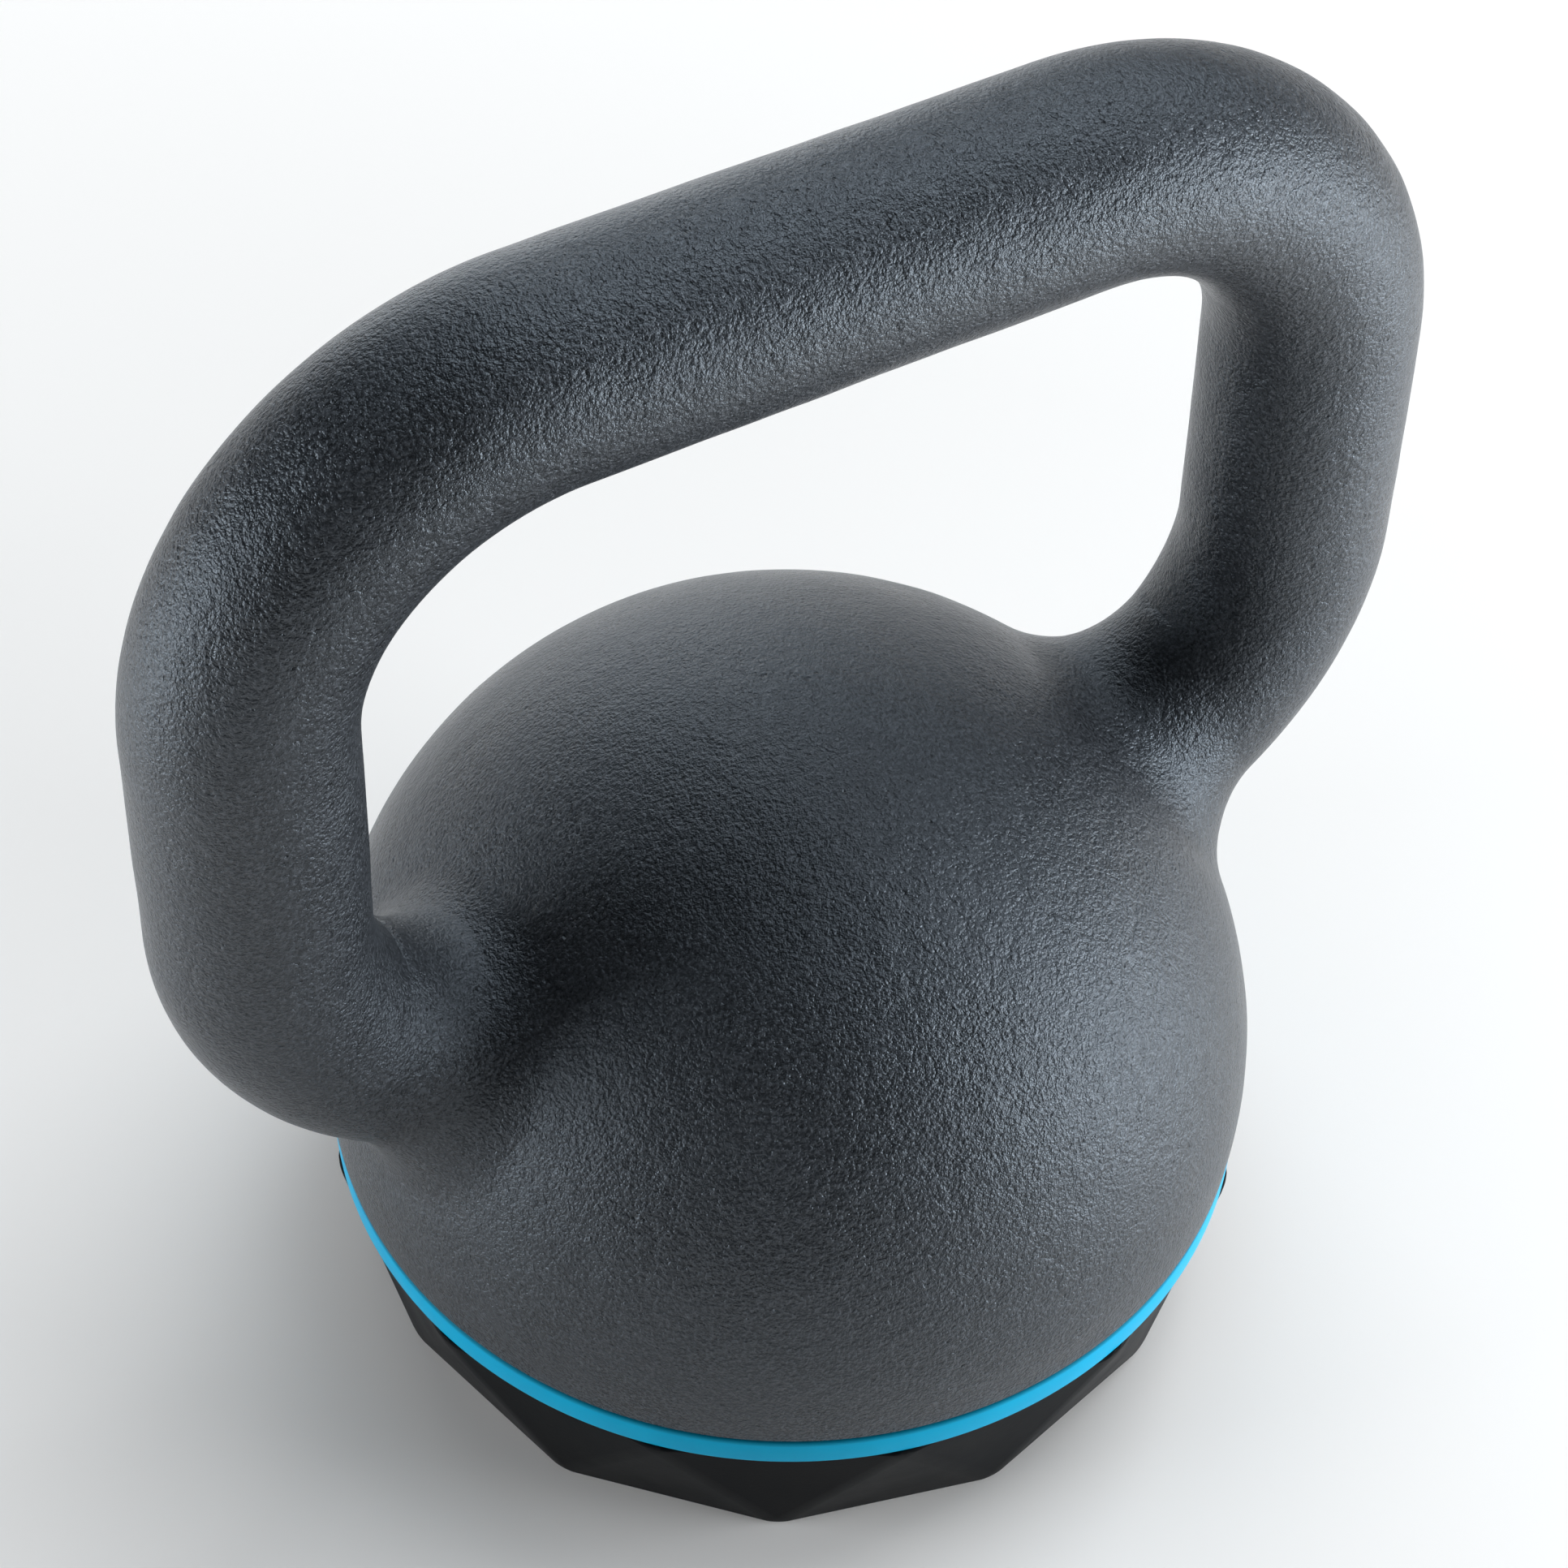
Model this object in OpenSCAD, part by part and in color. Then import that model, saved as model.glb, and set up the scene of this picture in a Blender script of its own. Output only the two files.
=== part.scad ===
// Kettlebell: a one-piece iron ball and loop handle on a screwed-on rubber foot,
// with a coloured ring trapped between the two.
// +X runs along the grip, +Z is up, and the origin is the middle of the foot's underside.

/* [Ball] */
// Diameter of the ball
ball_d = 148; // [124:1:178]
// Drop from the ball's centre to the shoulder that the ring sits under
shoulder_drop = 7.5; // [6:0.1:12]
// Chamfer along the lower edge of the ball, above the ring
edge_chamfer = 0.6; // [0.2:0.1:1.2]

/* [Handle] */
// Height of the whole kettlebell, floor to the top of the grip
total_h = 217.5; // [181:0.5:261]
// Thickness of the handle
handle_d = 32.2; // [27:0.1:38]
// Length of the straight grip
grip_l = 79; // [66:1:95]
// Bend radius of the two upper corners, at the middle of the bar
corner_r = 46.7; // [40:0.1:56]
// Outward lean of the legs, in degrees
leg_splay = 0.9; // [0:0.1:3]
// Bend radius where each leg turns in towards the ball
root_r = 45; // [38:0.5:54]
// Angle between the vertical and each root, which aims at the ball's centre
root_angle = 59.7; // [50:0.1:66]
// Radius of the fillet between each root and the ball
fillet_r = 16.3; // [8:0.1:19.5]

/* [Ring] */
// Height of the coloured ring
ring_h = 5.7; // [4.5:0.1:7]
// Width of the ring from its bore to its outer edge
ring_w = 7.5; // [5:0.1:9]
// How far the ring's top edge lies inside the ball's surface
ring_inset = 0.2; // [0:0.1:0.8]
// How much further out the ring's lower edge is than its top edge
ring_flare = 0.1; // [0:0.1:1]
// Gap between the ring's bore and the casting
ring_gap = 0.2; // [0.1:0.05:0.5]

/* [Foot] */
// Height of the rubber foot
foot_h = 26.5; // [22:0.5:32]
// Number of sides of the foot
foot_sides = 12; // [8:1:16]
// How far the foot's upper corners stand out past the ring
foot_lip = 0.8; // [0.4:0.1:2]
// How much closer to the middle the foot's lower corners are than its upper ones
foot_taper = 6; // [4:0.5:8]
// Thinnest rubber wall around the casting's spigot, at the floor
foot_wall = 7.5; // [6:0.5:9]
// Rubber under the casting's spigot
foot_floor = 9.5; // [8.5:0.1:12]
// Gap between the spigot and the rubber around it
foot_gap = 0.1; // [0.05:0.05:0.3]

/* [Fixings] */
// Number of screws that hold the foot
screw_count = 4; // [3:1:6]
// Thread diameter of the screws
screw_d = 6; // [5:1:8]
// Length of the screws under the head
screw_l = 16; // [14:1:20]
// Diameter of the screw heads
head_d = 10.5; // [9:0.5:14]
// Height of the screw heads
head_h = 3.3; // [2.5:0.1:4]
// How much smaller the heads' faces are than their undersides, all round
head_slope = 1.1; // [0.5:0.1:1.3]
// Width across the flats of the hexagon socket
socket_w = 4; // [3:0.5:5]
// Depth of the hexagon socket
socket_depth = 2; // [1.5:0.1:2.2]
// Diameter of the wells in the rubber that the heads sit in
well_d = 14.5; // [13:0.5:18]
// Depth of the wells, up to the steel insert
well_depth = 5.5; // [5:0.1:6]
// Thickness of the steel insert moulded into the foot
insert_t = 2; // [1.5:0.1:2.5]
// How much smaller the insert is than the spigot, all round
insert_inset = 6; // [4:0.5:10]
// Distance from the insert's edge to the middle of the screws
screw_edge = 12; // [10:0.5:16]
// Gap around the screws in the insert and the rubber
screw_gap = 0.3; // [0.2:0.05:0.5]
// Gap between the screws and their tapped holes
thread_gap = 0.05; // [0.02:0.01:0.1]
// Depth of the tapped holes past the ends of the screws
hole_spare = 3; // [2:0.5:5]

/* [Hidden] */
$fn = 96;

ball_r = ball_d / 2;
handle_r = handle_d / 2;

// heights
shoulder_z = foot_h + ring_h;
ball_z = shoulder_z + shoulder_drop;
grip_z = total_h - handle_r;
insert_z = well_depth;
hole_top_z = insert_z + screw_l + hole_spare;

// radii from the middle outwards
ring_top_r = sqrt(pow(ball_r, 2) - pow(shoulder_drop, 2)) - ring_inset;
ring_low_r = ring_top_r + ring_flare;
neck_r = ring_top_r - ring_w;
foot_top_r = ring_low_r + foot_lip;
foot_low_r = foot_top_r - foot_taper;
spigot_r = foot_low_r * cos(180 / foot_sides) - foot_wall;
insert_r = spigot_r - insert_inset;
screw_circle_r = insert_r - screw_edge;

// The handle's middle line, right half, as [x, z] points in the plane y = 0.
// Each leg leans out by leg_splay, and its root aims at the ball's centre.
function along(angle) = [cos(angle), sin(angle)];
ball_c = [0, ball_z];
corner_c = [grip_l / 2, grip_z - corner_r];
leg_dir = [sin(leg_splay), -cos(leg_splay)];
leg_out = along(leg_splay);
root_dir = [-sin(root_angle), -cos(root_angle)];
leg_top = corner_c + corner_r * leg_out;
root_turn = root_angle + leg_splay;
// where the leg's line and the root's line cross, measured from each end
to_ball = ball_c - leg_top;
leg_to_cross = (to_ball[0] * root_dir[1] - to_ball[1] * root_dir[0])
    / (leg_dir[0] * root_dir[1] - leg_dir[1] * root_dir[0]);
cross_point = leg_top + leg_to_cross * leg_dir;
root_tangent = root_r * tan(root_turn / 2);
leg_l = leg_to_cross - root_tangent;
leg_end = leg_top + leg_l * leg_dir;
bend_c = leg_end - root_r * leg_out;
bend_l = root_r * root_turn * PI / 180;
root_start = cross_point + root_tangent * root_dir;
// each root runs on to this far from the ball's centre
root_depth = 0.6 * ball_r;
root_l = norm(root_start - ball_c) - root_depth;

// A place on the middle line of the leg and root, s millimetres below the corner,
// and the direction square to the line there, pointing away from the window.
function line_angle(s) =
    leg_splay - max(0, min(s - leg_l, bend_l)) / root_r * 180 / PI;
function line_point(s) =
    s < leg_l ? leg_top + s * leg_dir
    : s < leg_l + bend_l ? bend_c + root_r * along(line_angle(s))
    : root_start + (s - leg_l - bend_l) * root_dir;

// The fillet is the track of a ball of fillet_r rolled round the root, touching the
// root and the ball. It is sunk a little, so that it cuts both cleanly.
fillet_sink = 0.25;
fillet_sides = 48;
fillet_steps = 8;
roll_from_line = handle_r + fillet_r - fillet_sink;
roll_from_ball = ball_r + fillet_r - fillet_sink;
ball_c3 = [0, 0, ball_z];
function side_dir(s, turn) =
    let (out = along(line_angle(s)))
    [cos(turn) * out[0], sin(turn), cos(turn) * out[1]];
function line_point3(s) = let (p = line_point(s)) [p[0], 0, p[1]];
function roll_centre(s, turn) = line_point3(s) + roll_from_line * side_dir(s, turn);
// the place along the line at which the rolling ball touches the big one
function roll_place(turn, low, high, tries = 26) =
    let (mid = (low + high) / 2)
    tries == 0 ? mid
    : norm(roll_centre(mid, turn) - ball_c3) > roll_from_ball
        ? roll_place(turn, mid, high, tries - 1)
        : roll_place(turn, low, mid, tries - 1);
function unit(v) = v / norm(v);
// from direction a to direction b, the part t of the way, both of length 1
function swing(a, b, t) =
    let (whole = acos(a * b)) (sin((1 - t) * whole) * a + sin(t * whole) * b) / sin(whole);
fillet_places = [
    for (i = [0 : fillet_sides - 1])
        roll_place(i * 360 / fillet_sides, 0, leg_l + bend_l + root_l)
];
// one row of points per step, from inside the root to inside the ball
function fillet_row(k) = [
    for (i = [0 : fillet_sides - 1])
        let (
            turn = i * 360 / fillet_sides,
            s = fillet_places[i],
            side = side_dir(s, turn),
            centre = roll_centre(s, turn),
            to_ball_dir = unit(ball_c3 - centre)
        )
        k < 0 ? line_point3(s) + handle_r / 2 * side
        : k > fillet_steps ? ball_c3 - (ball_r - handle_r) * to_ball_dir
        : centre + fillet_r * swing(-side, to_ball_dir, k / fillet_steps)
];

module at(p) {
    translate([p[0], 0, p[1]]) children();
}

// a straight length of the handle, which laps a little way into the bend at each end
// and is a hair thinner, so that it stays inside the bend there
bar_lap = 0.8;
bar_ease = 0.02;
module bar(from, length, dir) {
    at(from) rotate([0, atan2(dir[0], dir[1]), 0]) translate([0, 0, -bar_lap])
        cylinder(h = length + 2 * bar_lap, r = handle_r - bar_ease);
}

// a bent length of the handle, from start_angle upwards
module bend(centre, radius, start_angle, sweep) {
    at(centre) rotate([90, 0, 0]) rotate([0, 0, start_angle])
        rotate_extrude(angle = sweep) translate([radius, 0]) circle(r = handle_r);
}

module fillet() {
    rows = [for (k = [-1 : fillet_steps + 1]) each fillet_row(k)];
    last_row = fillet_steps + 2;
    // two points inside the metal, which close the track's ends
    mean_place = (min(fillet_places) + max(fillet_places)) / 2;
    tips = [line_point3(mean_place), ball_c3 - root_depth * [root_dir[0], 0, root_dir[1]]];
    n = fillet_sides;
    top_tip = len(rows);
    low_tip = len(rows) + 1;
    function spot(row, i) = row * n + i % n;
    polyhedron(
        points = concat(rows, tips),
        faces = [
            for (i = [0 : n - 1]) [top_tip, spot(0, i + 1), spot(0, i)],
            for (row = [0 : last_row - 1], i = [0 : n - 1])
                each [
                    [spot(row, i), spot(row + 1, i + 1), spot(row + 1, i)],
                    [spot(row, i), spot(row, i + 1), spot(row + 1, i + 1)]
                ],
            for (i = [0 : n - 1]) [low_tip, spot(last_row, i), spot(last_row, i + 1)]
        ],
        convexity = 4
    );
}

module half_handle() {
    bend(corner_c, corner_r, leg_splay, 90 - leg_splay);
    bar(leg_top, leg_l, leg_dir);
    bend(bend_c, root_r, leg_splay - root_turn, root_turn);
    bar(root_start, root_l, root_dir);
    fillet();
}

module on_screw_circle() {
    for (i = [0 : screw_count - 1])
        rotate([0, 0, (i + 0.5) * 360 / screw_count]) translate([screw_circle_r, 0, 0]) children();
}

// the ball down to its shoulder, the neck inside the ring, and the spigot inside the foot
module ball_and_spigot() {
    shoulder_edge_r = ring_top_r + ring_inset;
    difference() {
        at(ball_c) sphere(r = ball_r);
        translate([0, 0, shoulder_z - ball_d]) cylinder(h = ball_d, r = ball_d);
        translate([0, 0, shoulder_z]) rotate_extrude()
            polygon([
                [shoulder_edge_r - edge_chamfer, -edge_chamfer],
                [shoulder_edge_r + edge_chamfer, -edge_chamfer],
                [shoulder_edge_r + edge_chamfer, edge_chamfer],
                [shoulder_edge_r - edge_chamfer, 0]
            ]);
    }
    translate([0, 0, foot_h]) cylinder(h = ring_h, r = neck_r);
    translate([0, 0, foot_floor]) cylinder(h = shoulder_z - foot_floor, r = spigot_r);
}

module cast_body() color([0.20, 0.21, 0.23]) {
    difference() {
        union() {
            ball_and_spigot();
            bar([-grip_l / 2, grip_z], grip_l, [1, 0]);
            half_handle();
            mirror([1, 0, 0]) half_handle();
        }
        on_screw_circle() {
            hole_r = screw_d / 2 + thread_gap;
            cylinder(h = hole_top_z, r = hole_r);
            translate([0, 0, hole_top_z]) cylinder(h = hole_r / 2, r1 = hole_r, r2 = 0);
        }
    }
}

module colour_ring() color([0.05, 0.62, 0.85]) {
    ring_bore_r = neck_r + ring_gap;
    translate([0, 0, foot_h]) rotate_extrude()
        polygon([[ring_bore_r, 0], [ring_low_r, 0], [ring_top_r, ring_h], [ring_bore_r, ring_h]]);
}

// The foot's top has its corners half a side round from the corners of its underside,
// so its wall is a band of triangles, like the girdle of a cut stone.
module rubber_foot() color([0.07, 0.07, 0.075]) {
    skin = 0.01;
    difference() {
        hull() {
            cylinder(h = skin, r = foot_low_r, $fn = foot_sides);
            translate([0, 0, foot_h - skin]) rotate([0, 0, 180 / foot_sides])
                cylinder(h = skin, r = foot_top_r, $fn = foot_sides);
        }
        translate([0, 0, foot_floor]) cylinder(h = foot_h, r = spigot_r + foot_gap);
        translate([0, 0, insert_z]) cylinder(h = insert_t, r = insert_r);
        on_screw_circle() {
            translate([0, 0, -1]) cylinder(h = well_depth + 1, r = well_d / 2);
            cylinder(h = foot_h, r = screw_d / 2 + screw_gap);
        }
    }
}

module foot_insert() color([0.62, 0.64, 0.66]) {
    difference() {
        translate([0, 0, insert_z]) cylinder(h = insert_t, r = insert_r);
        on_screw_circle() cylinder(h = foot_h, r = screw_d / 2 + screw_gap);
    }
}

// one screw, head down, with the underside of its head at z = 0
module foot_screw() {
    difference() {
        union() {
            cylinder(h = screw_l, r = screw_d / 2);
            translate([0, 0, -head_h])
                cylinder(h = head_h, r1 = head_d / 2 - head_slope, r2 = head_d / 2);
        }
        translate([0, 0, -head_h - 1])
            cylinder(h = socket_depth + 1, r = socket_w / sqrt(3), $fn = 6);
    }
}

module foot_screws() color([0.45, 0.46, 0.48]) {
    on_screw_circle() translate([0, 0, insert_z]) foot_screw();
}

cast_body();
colour_ring();
rubber_foot();
foot_insert();
foot_screws();
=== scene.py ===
import math

import bmesh
import bpy
import numpy as np
from mathutils import Matrix, Vector, noise


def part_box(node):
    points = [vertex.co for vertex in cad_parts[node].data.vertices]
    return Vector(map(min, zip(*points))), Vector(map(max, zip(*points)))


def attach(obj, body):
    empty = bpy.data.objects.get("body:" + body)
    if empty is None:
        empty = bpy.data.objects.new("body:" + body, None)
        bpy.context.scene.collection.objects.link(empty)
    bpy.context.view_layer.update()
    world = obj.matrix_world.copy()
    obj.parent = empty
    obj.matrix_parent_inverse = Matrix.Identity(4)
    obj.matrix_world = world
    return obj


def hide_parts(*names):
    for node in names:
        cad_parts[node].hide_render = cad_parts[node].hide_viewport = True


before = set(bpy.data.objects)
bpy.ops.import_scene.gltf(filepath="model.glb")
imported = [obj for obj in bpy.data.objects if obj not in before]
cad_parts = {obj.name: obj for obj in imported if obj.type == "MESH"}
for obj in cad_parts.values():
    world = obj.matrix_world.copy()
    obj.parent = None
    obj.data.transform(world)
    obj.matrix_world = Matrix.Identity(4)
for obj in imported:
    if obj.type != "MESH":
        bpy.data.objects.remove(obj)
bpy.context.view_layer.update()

# ---------------------------------------------------------------- sizes, in millimetres
# Shapes are worked out in millimetres and become metres when their meshes are made.
MM = 0.001


def node_box(node):
    """Lowest and highest corner of a CAD node, in millimetres."""
    low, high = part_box(node)
    return np.array(low) / MM, np.array(high) / MM


cast_low, cast_high = node_box("cast_body")
ring_low, ring_high = node_box("colour_ring")
foot_low, foot_high = node_box("rubber_foot")
insert_low, insert_high = node_box("foot_insert")
screws_low, screws_high = node_box("foot_screws")

# the ball and what is under it
BALL_R = 74.0
SHOULDER_DROP = 7.5         # from the ball's centre down to the flat that the ring sits under
SHOULDER_ROUND = 0.7        # radius of the ball's lower edge
TOTAL_H = cast_high[2]
FOOT_H = foot_high[2]
SHOULDER_Z = ring_high[2]
BALL_Z = SHOULDER_Z + SHOULDER_DROP
SPIGOT_LOW_Z = cast_low[2]
SHOULDER_R = math.sqrt(BALL_R**2 - SHOULDER_DROP**2)
RING_W = 7.5
RING_INSET = 0.2            # how far the ring's top edge lies inside the ball's surface
RING_FLARE = 0.1            # how much further out the ring's lower edge is
RING_TOP_R = SHOULDER_R - RING_INSET
RING_LOW_R = RING_TOP_R + RING_FLARE
NECK_R = RING_TOP_R - RING_W
RING_BORE_R = NECK_R + 0.2
RING_CROWN = 0.12           # how far the ring's outside swells at its middle
RING_CURL = 1.3             # radius of the ring's upper outer edge
RING_EDGE = 0.35            # and of its lower one

# the handle's middle line
HANDLE_R = 16.1
GRIP_HALF = 39.5
CORNER_R = 46.7
LEG_SPLAY = math.radians(0.9)
ROOT_R = 45.0
ROOT_ANGLE = math.radians(59.7)
ROOT_DEPTH = 0.6 * BALL_R   # the roots stop this far from the ball's centre
FILLET_R = 16.3

# the foot and its fixings
FOOT_SIDES = 12
FOOT_LIP = 0.8              # how far the foot's upper corners stand out past the ring
FOOT_TAPER = 6.0            # how much further in its lower corners are
FOOT_TOP_R = RING_LOW_R + FOOT_LIP
FOOT_LOW_R = FOOT_TOP_R - FOOT_TAPER
FOOT_WALL = 7.5
SPIGOT_R = FOOT_LOW_R * math.cos(math.pi / FOOT_SIDES) - FOOT_WALL
FOOT_GAP = 0.1
FOOT_SOFT = 1.6             # how far back the edges of the wall's facets are rounded
FOOT_TOP_SOFT = 0.7         # and those of its upper rim
FOOT_LOW_SOFT = 0.45        # and of its lower rim
INSERT_R = insert_high[0]
INSERT_LOW_Z = insert_low[2]
INSERT_HIGH_Z = insert_high[2]
SCREW_COUNT = 4
SCREW_CIRCLE_R = INSERT_R - 12
SCREW_R = 3.0
SCREW_HOLE_R = SCREW_R + 0.3
SCREW_TIP_Z = screws_high[2]
SCREW_TIP_CHAMFER = 0.6
TAPPED_R = SCREW_R + 0.05
TAPPED_TOP_Z = SCREW_TIP_Z + 3
HEAD_R = 5.25
HEAD_FACE_R = 4.4
HEAD_LOW_Z = screws_low[2]
HEAD_DOME = 1.6             # radius between the head's face and its side
HEAD_EDGE = 0.3             # radius between its side and its underside
SOCKET_W = 4.0              # across the flats
SOCKET_R = SOCKET_W / math.sqrt(3)
SOCKET_DEPTH = 2.0
SOCKET_CHAMFER = 0.15
SOCKET_POINT = 0.5          # how much deeper the middle of the socket's floor is
WELL_R = 7.25
WELL_SOFT = 0.7             # radius of the wells' rims
OVERCUT = 1.0               # how far a cutter runs past the face that it opens

# the casting's unevenness, as how wide and how high its swells are
BROAD_SWELL, BROAD_HEIGHT = 26.0, 0.16
FINE_SWELL, FINE_HEIGHT = 7.5, 0.07
FINE_SHIFT = Vector((3.1, 8.2, 5.7))

# how finely things are made
CAST_CELL = 1.12            # size of the casting's quads
SEAM_Z = SHOULDER_Z + 3.4   # quads above it, turned loops below it
SEAM_FADE = 6.0             # the unevenness grows from none to full this far above the seam
LATHE_SIDES = 256
WELL_SIDES = 64
SCREW_SIDES = 48
SHARP_ANGLE = math.radians(32)


# ---------------------------------------------------------------- mesh helpers
def screw_places():
    """Middle of each screw, as (x, y) in millimetres."""
    for i in range(SCREW_COUNT):
        turn = (i + 0.5) * 2 * math.pi / SCREW_COUNT
        yield SCREW_CIRCLE_R * math.cos(turn), SCREW_CIRCLE_R * math.sin(turn)


def add_piece(name, bm, material, node, sharp=SHARP_ANGLE):
    """Makes an object in metres from a bmesh in millimetres, in place of a CAD node."""
    bmesh.ops.recalc_face_normals(bm, faces=bm.faces)
    bm.transform(Matrix.Scale(MM, 4))
    mesh = bpy.data.meshes.new(name)
    bm.to_mesh(mesh)
    bm.free()
    mesh.shade_smooth()
    mesh.set_sharp_from_angle(angle=sharp)
    mesh.materials.append(material)
    piece = bpy.data.objects.new(name, mesh)
    bpy.context.scene.collection.objects.link(piece)
    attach(piece, "root")
    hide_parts(node)
    return piece


def circle_loop(bm, radius, z, sides, centre=(0, 0), turn=0.0):
    """A closed loop of edges, and its vertices."""
    verts = []
    for i in range(sides):
        angle = turn + 2 * math.pi * i / sides
        x = centre[0] + radius * math.cos(angle)
        y = centre[1] + radius * math.sin(angle)
        verts.append(bm.verts.new((x, y, z)))
    edges = [bm.edges.new((verts[i], verts[(i + 1) % sides])) for i in range(sides)]
    return verts, edges


def bridge(bm, lower, upper):
    """A band of quads between two loops of as many vertices."""
    for i in range(len(lower)):
        j = (i + 1) % len(lower)
        bm.faces.new((lower[i], lower[j], upper[j], upper[i]))


def lathe(bm, profile, sides, centre=(0, 0), closed=False):
    """Turns (radius, z) points round a vertical axis. A radius of 0 closes the form in a fan."""
    loops = []
    for radius, z in profile:
        if radius == 0:
            loops.append([bm.verts.new((centre[0], centre[1], z))])
        else:
            loops.append(circle_loop(bm, radius, z, sides, centre)[0])
    following = loops[1:] + loops[:1] if closed else loops[1:]
    for lower, upper in zip(loops, following):
        if len(lower) == 1 or len(upper) == 1:
            tip, rim = (lower, upper) if len(lower) == 1 else (upper, lower)
            for i in range(sides):
                bm.faces.new((tip[0], rim[i], rim[(i + 1) % sides]))
        else:
            bridge(bm, lower, upper)
    return loops


def loop_edges(bm, verts):
    """The edges there are between neighbours in a closed loop of vertices."""
    count = len(verts)
    return [bm.edges.get((verts[i], verts[(i + 1) % count])) for i in range(count)]


def round_corner(before, corner, after, radius, steps=5):
    """Points of an arc that rounds a corner of a profile, from the before to the after side."""
    p, a, b = (np.array(v, float) for v in (corner, before, after))
    to_a = (a - p) / np.linalg.norm(a - p)
    to_b = (b - p) / np.linalg.norm(b - p)
    half = math.acos(float(to_a @ to_b)) / 2
    middle = p + (to_a + to_b) / np.linalg.norm(to_a + to_b) * radius / math.sin(half)
    start = p + to_a * radius / math.tan(half) - middle
    end = p + to_b * radius / math.tan(half) - middle
    whole = math.pi - 2 * half
    points = []
    for i in range(steps + 1):
        t = i / steps
        v = (math.sin((1 - t) * whole) * start + math.sin(t * whole) * end) / math.sin(whole)
        points.append(tuple(middle + v))
    return points


# ---------------------------------------------------------------- casting: its exact shape
def direction(angle):
    """Unit vector in the plane y = 0, counted from +X towards +Z."""
    return np.array([math.cos(angle), math.sin(angle)])


def handle_line():
    """The handle's middle line, right half, as straight and bent lengths in the plane y = 0.

    The grip is level, the corner turns down into a leg that leans out a little, and the root bend
    turns each leg in to aim at the ball's centre.
    """
    ball = np.array([0.0, BALL_Z])
    grip_middle = np.array([0.0, TOTAL_H - HANDLE_R])
    grip_end = grip_middle + np.array([GRIP_HALF, 0.0])
    corner = grip_end - np.array([0.0, CORNER_R])
    leg_dir = np.array([math.sin(LEG_SPLAY), -math.cos(LEG_SPLAY)])
    root_dir = np.array([-math.sin(ROOT_ANGLE), -math.cos(ROOT_ANGLE)])
    leg_top = corner + CORNER_R * direction(LEG_SPLAY)
    turn = ROOT_ANGLE + LEG_SPLAY
    to_ball = ball - leg_top
    cross = to_ball[0] * root_dir[1] - to_ball[1] * root_dir[0]
    leg_to_cross = cross / (leg_dir[0] * root_dir[1] - leg_dir[1] * root_dir[0])
    tangent = ROOT_R * math.tan(turn / 2)
    leg_end = leg_top + (leg_to_cross - tangent) * leg_dir
    bend = leg_end - ROOT_R * direction(LEG_SPLAY)
    root_start = leg_top + leg_to_cross * leg_dir + tangent * root_dir
    return [
        ("line", grip_middle, grip_end),
        ("arc", corner, CORNER_R, LEG_SPLAY, math.pi / 2),
        ("line", leg_top, leg_end),
        ("arc", bend, ROOT_R, LEG_SPLAY - turn, LEG_SPLAY),
        ("line", root_start, ball - ROOT_DEPTH * root_dir),
    ]


def nearest(length, x, z):
    """The nearest point to (x, z) on one length of the handle's middle line."""
    if length[0] == "line":
        start, along = length[1], length[2] - length[1]
        t = ((x - start[0]) * along[0] + (z - start[1]) * along[1]) / (along @ along)
        t = np.clip(t, 0, 1)
        return start[0] + t * along[0], start[1] + t * along[1]
    centre, radius, low, high = length[1:]
    angle = np.clip(np.arctan2(z - centre[1], x - centre[0]), low, high)
    return centre[0] + radius * np.cos(angle), centre[1] + radius * np.sin(angle)


def casting_distance(x, y, z, line):
    """Distance from the surface of ball, handle and fillets together, negative in the metal.

    The fillet is the track of a ball of FILLET_R that rolls round the root and touches both.
    """
    x = np.abs(x)
    best = np.full(x.shape, np.inf)
    off_x = np.zeros_like(x)
    off_z = np.zeros_like(x)
    for length in line:
        near_x, near_z = nearest(length, x, z)
        gap = (x - near_x) ** 2 + (z - near_z) ** 2
        closer = gap < best
        best = np.where(closer, gap, best)
        off_x = np.where(closer, x - near_x, off_x)
        off_z = np.where(closer, z - near_z, off_z)
    from_line = np.sqrt(best + y * y) + 1e-9
    from_centre = np.sqrt(x * x + y * y + (z - BALL_Z) ** 2) + 1e-9
    to_handle = from_line - HANDLE_R
    to_ball = from_centre - BALL_R
    facing = (off_x * x + y * y + off_z * (z - BALL_Z)) / (from_line * from_centre)
    a = FILLET_R - to_handle
    b = FILLET_R - to_ball
    rolling = (a > 0) & (b > 0) & (a > facing * b) & (b > facing * a)
    square = np.maximum(a * a + b * b - 2 * facing * a * b, 0) / np.maximum(1 - facing**2, 1e-6)
    return np.where(rolling, FILLET_R - np.sqrt(square), np.minimum(to_handle, to_ball))


def slope(points, line, step=0.05):
    """Direction in which the distance grows, at each point."""
    parts = []
    for axis in range(3):
        ahead = points.copy()
        behind = points.copy()
        ahead[:, axis] += step
        behind[:, axis] -= step
        parts.append(casting_distance(*ahead.T, line) - casting_distance(*behind.T, line))
    gradient = np.stack(parts, axis=1)
    return gradient / np.maximum(np.linalg.norm(gradient, axis=1, keepdims=True), 1e-9)


def settle(points, line, rounds=3):
    """Moves points along the slope onto the surface."""
    for _ in range(rounds):
        points = points - casting_distance(*points.T, line)[:, None] * slope(points, line)
    return points


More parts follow.
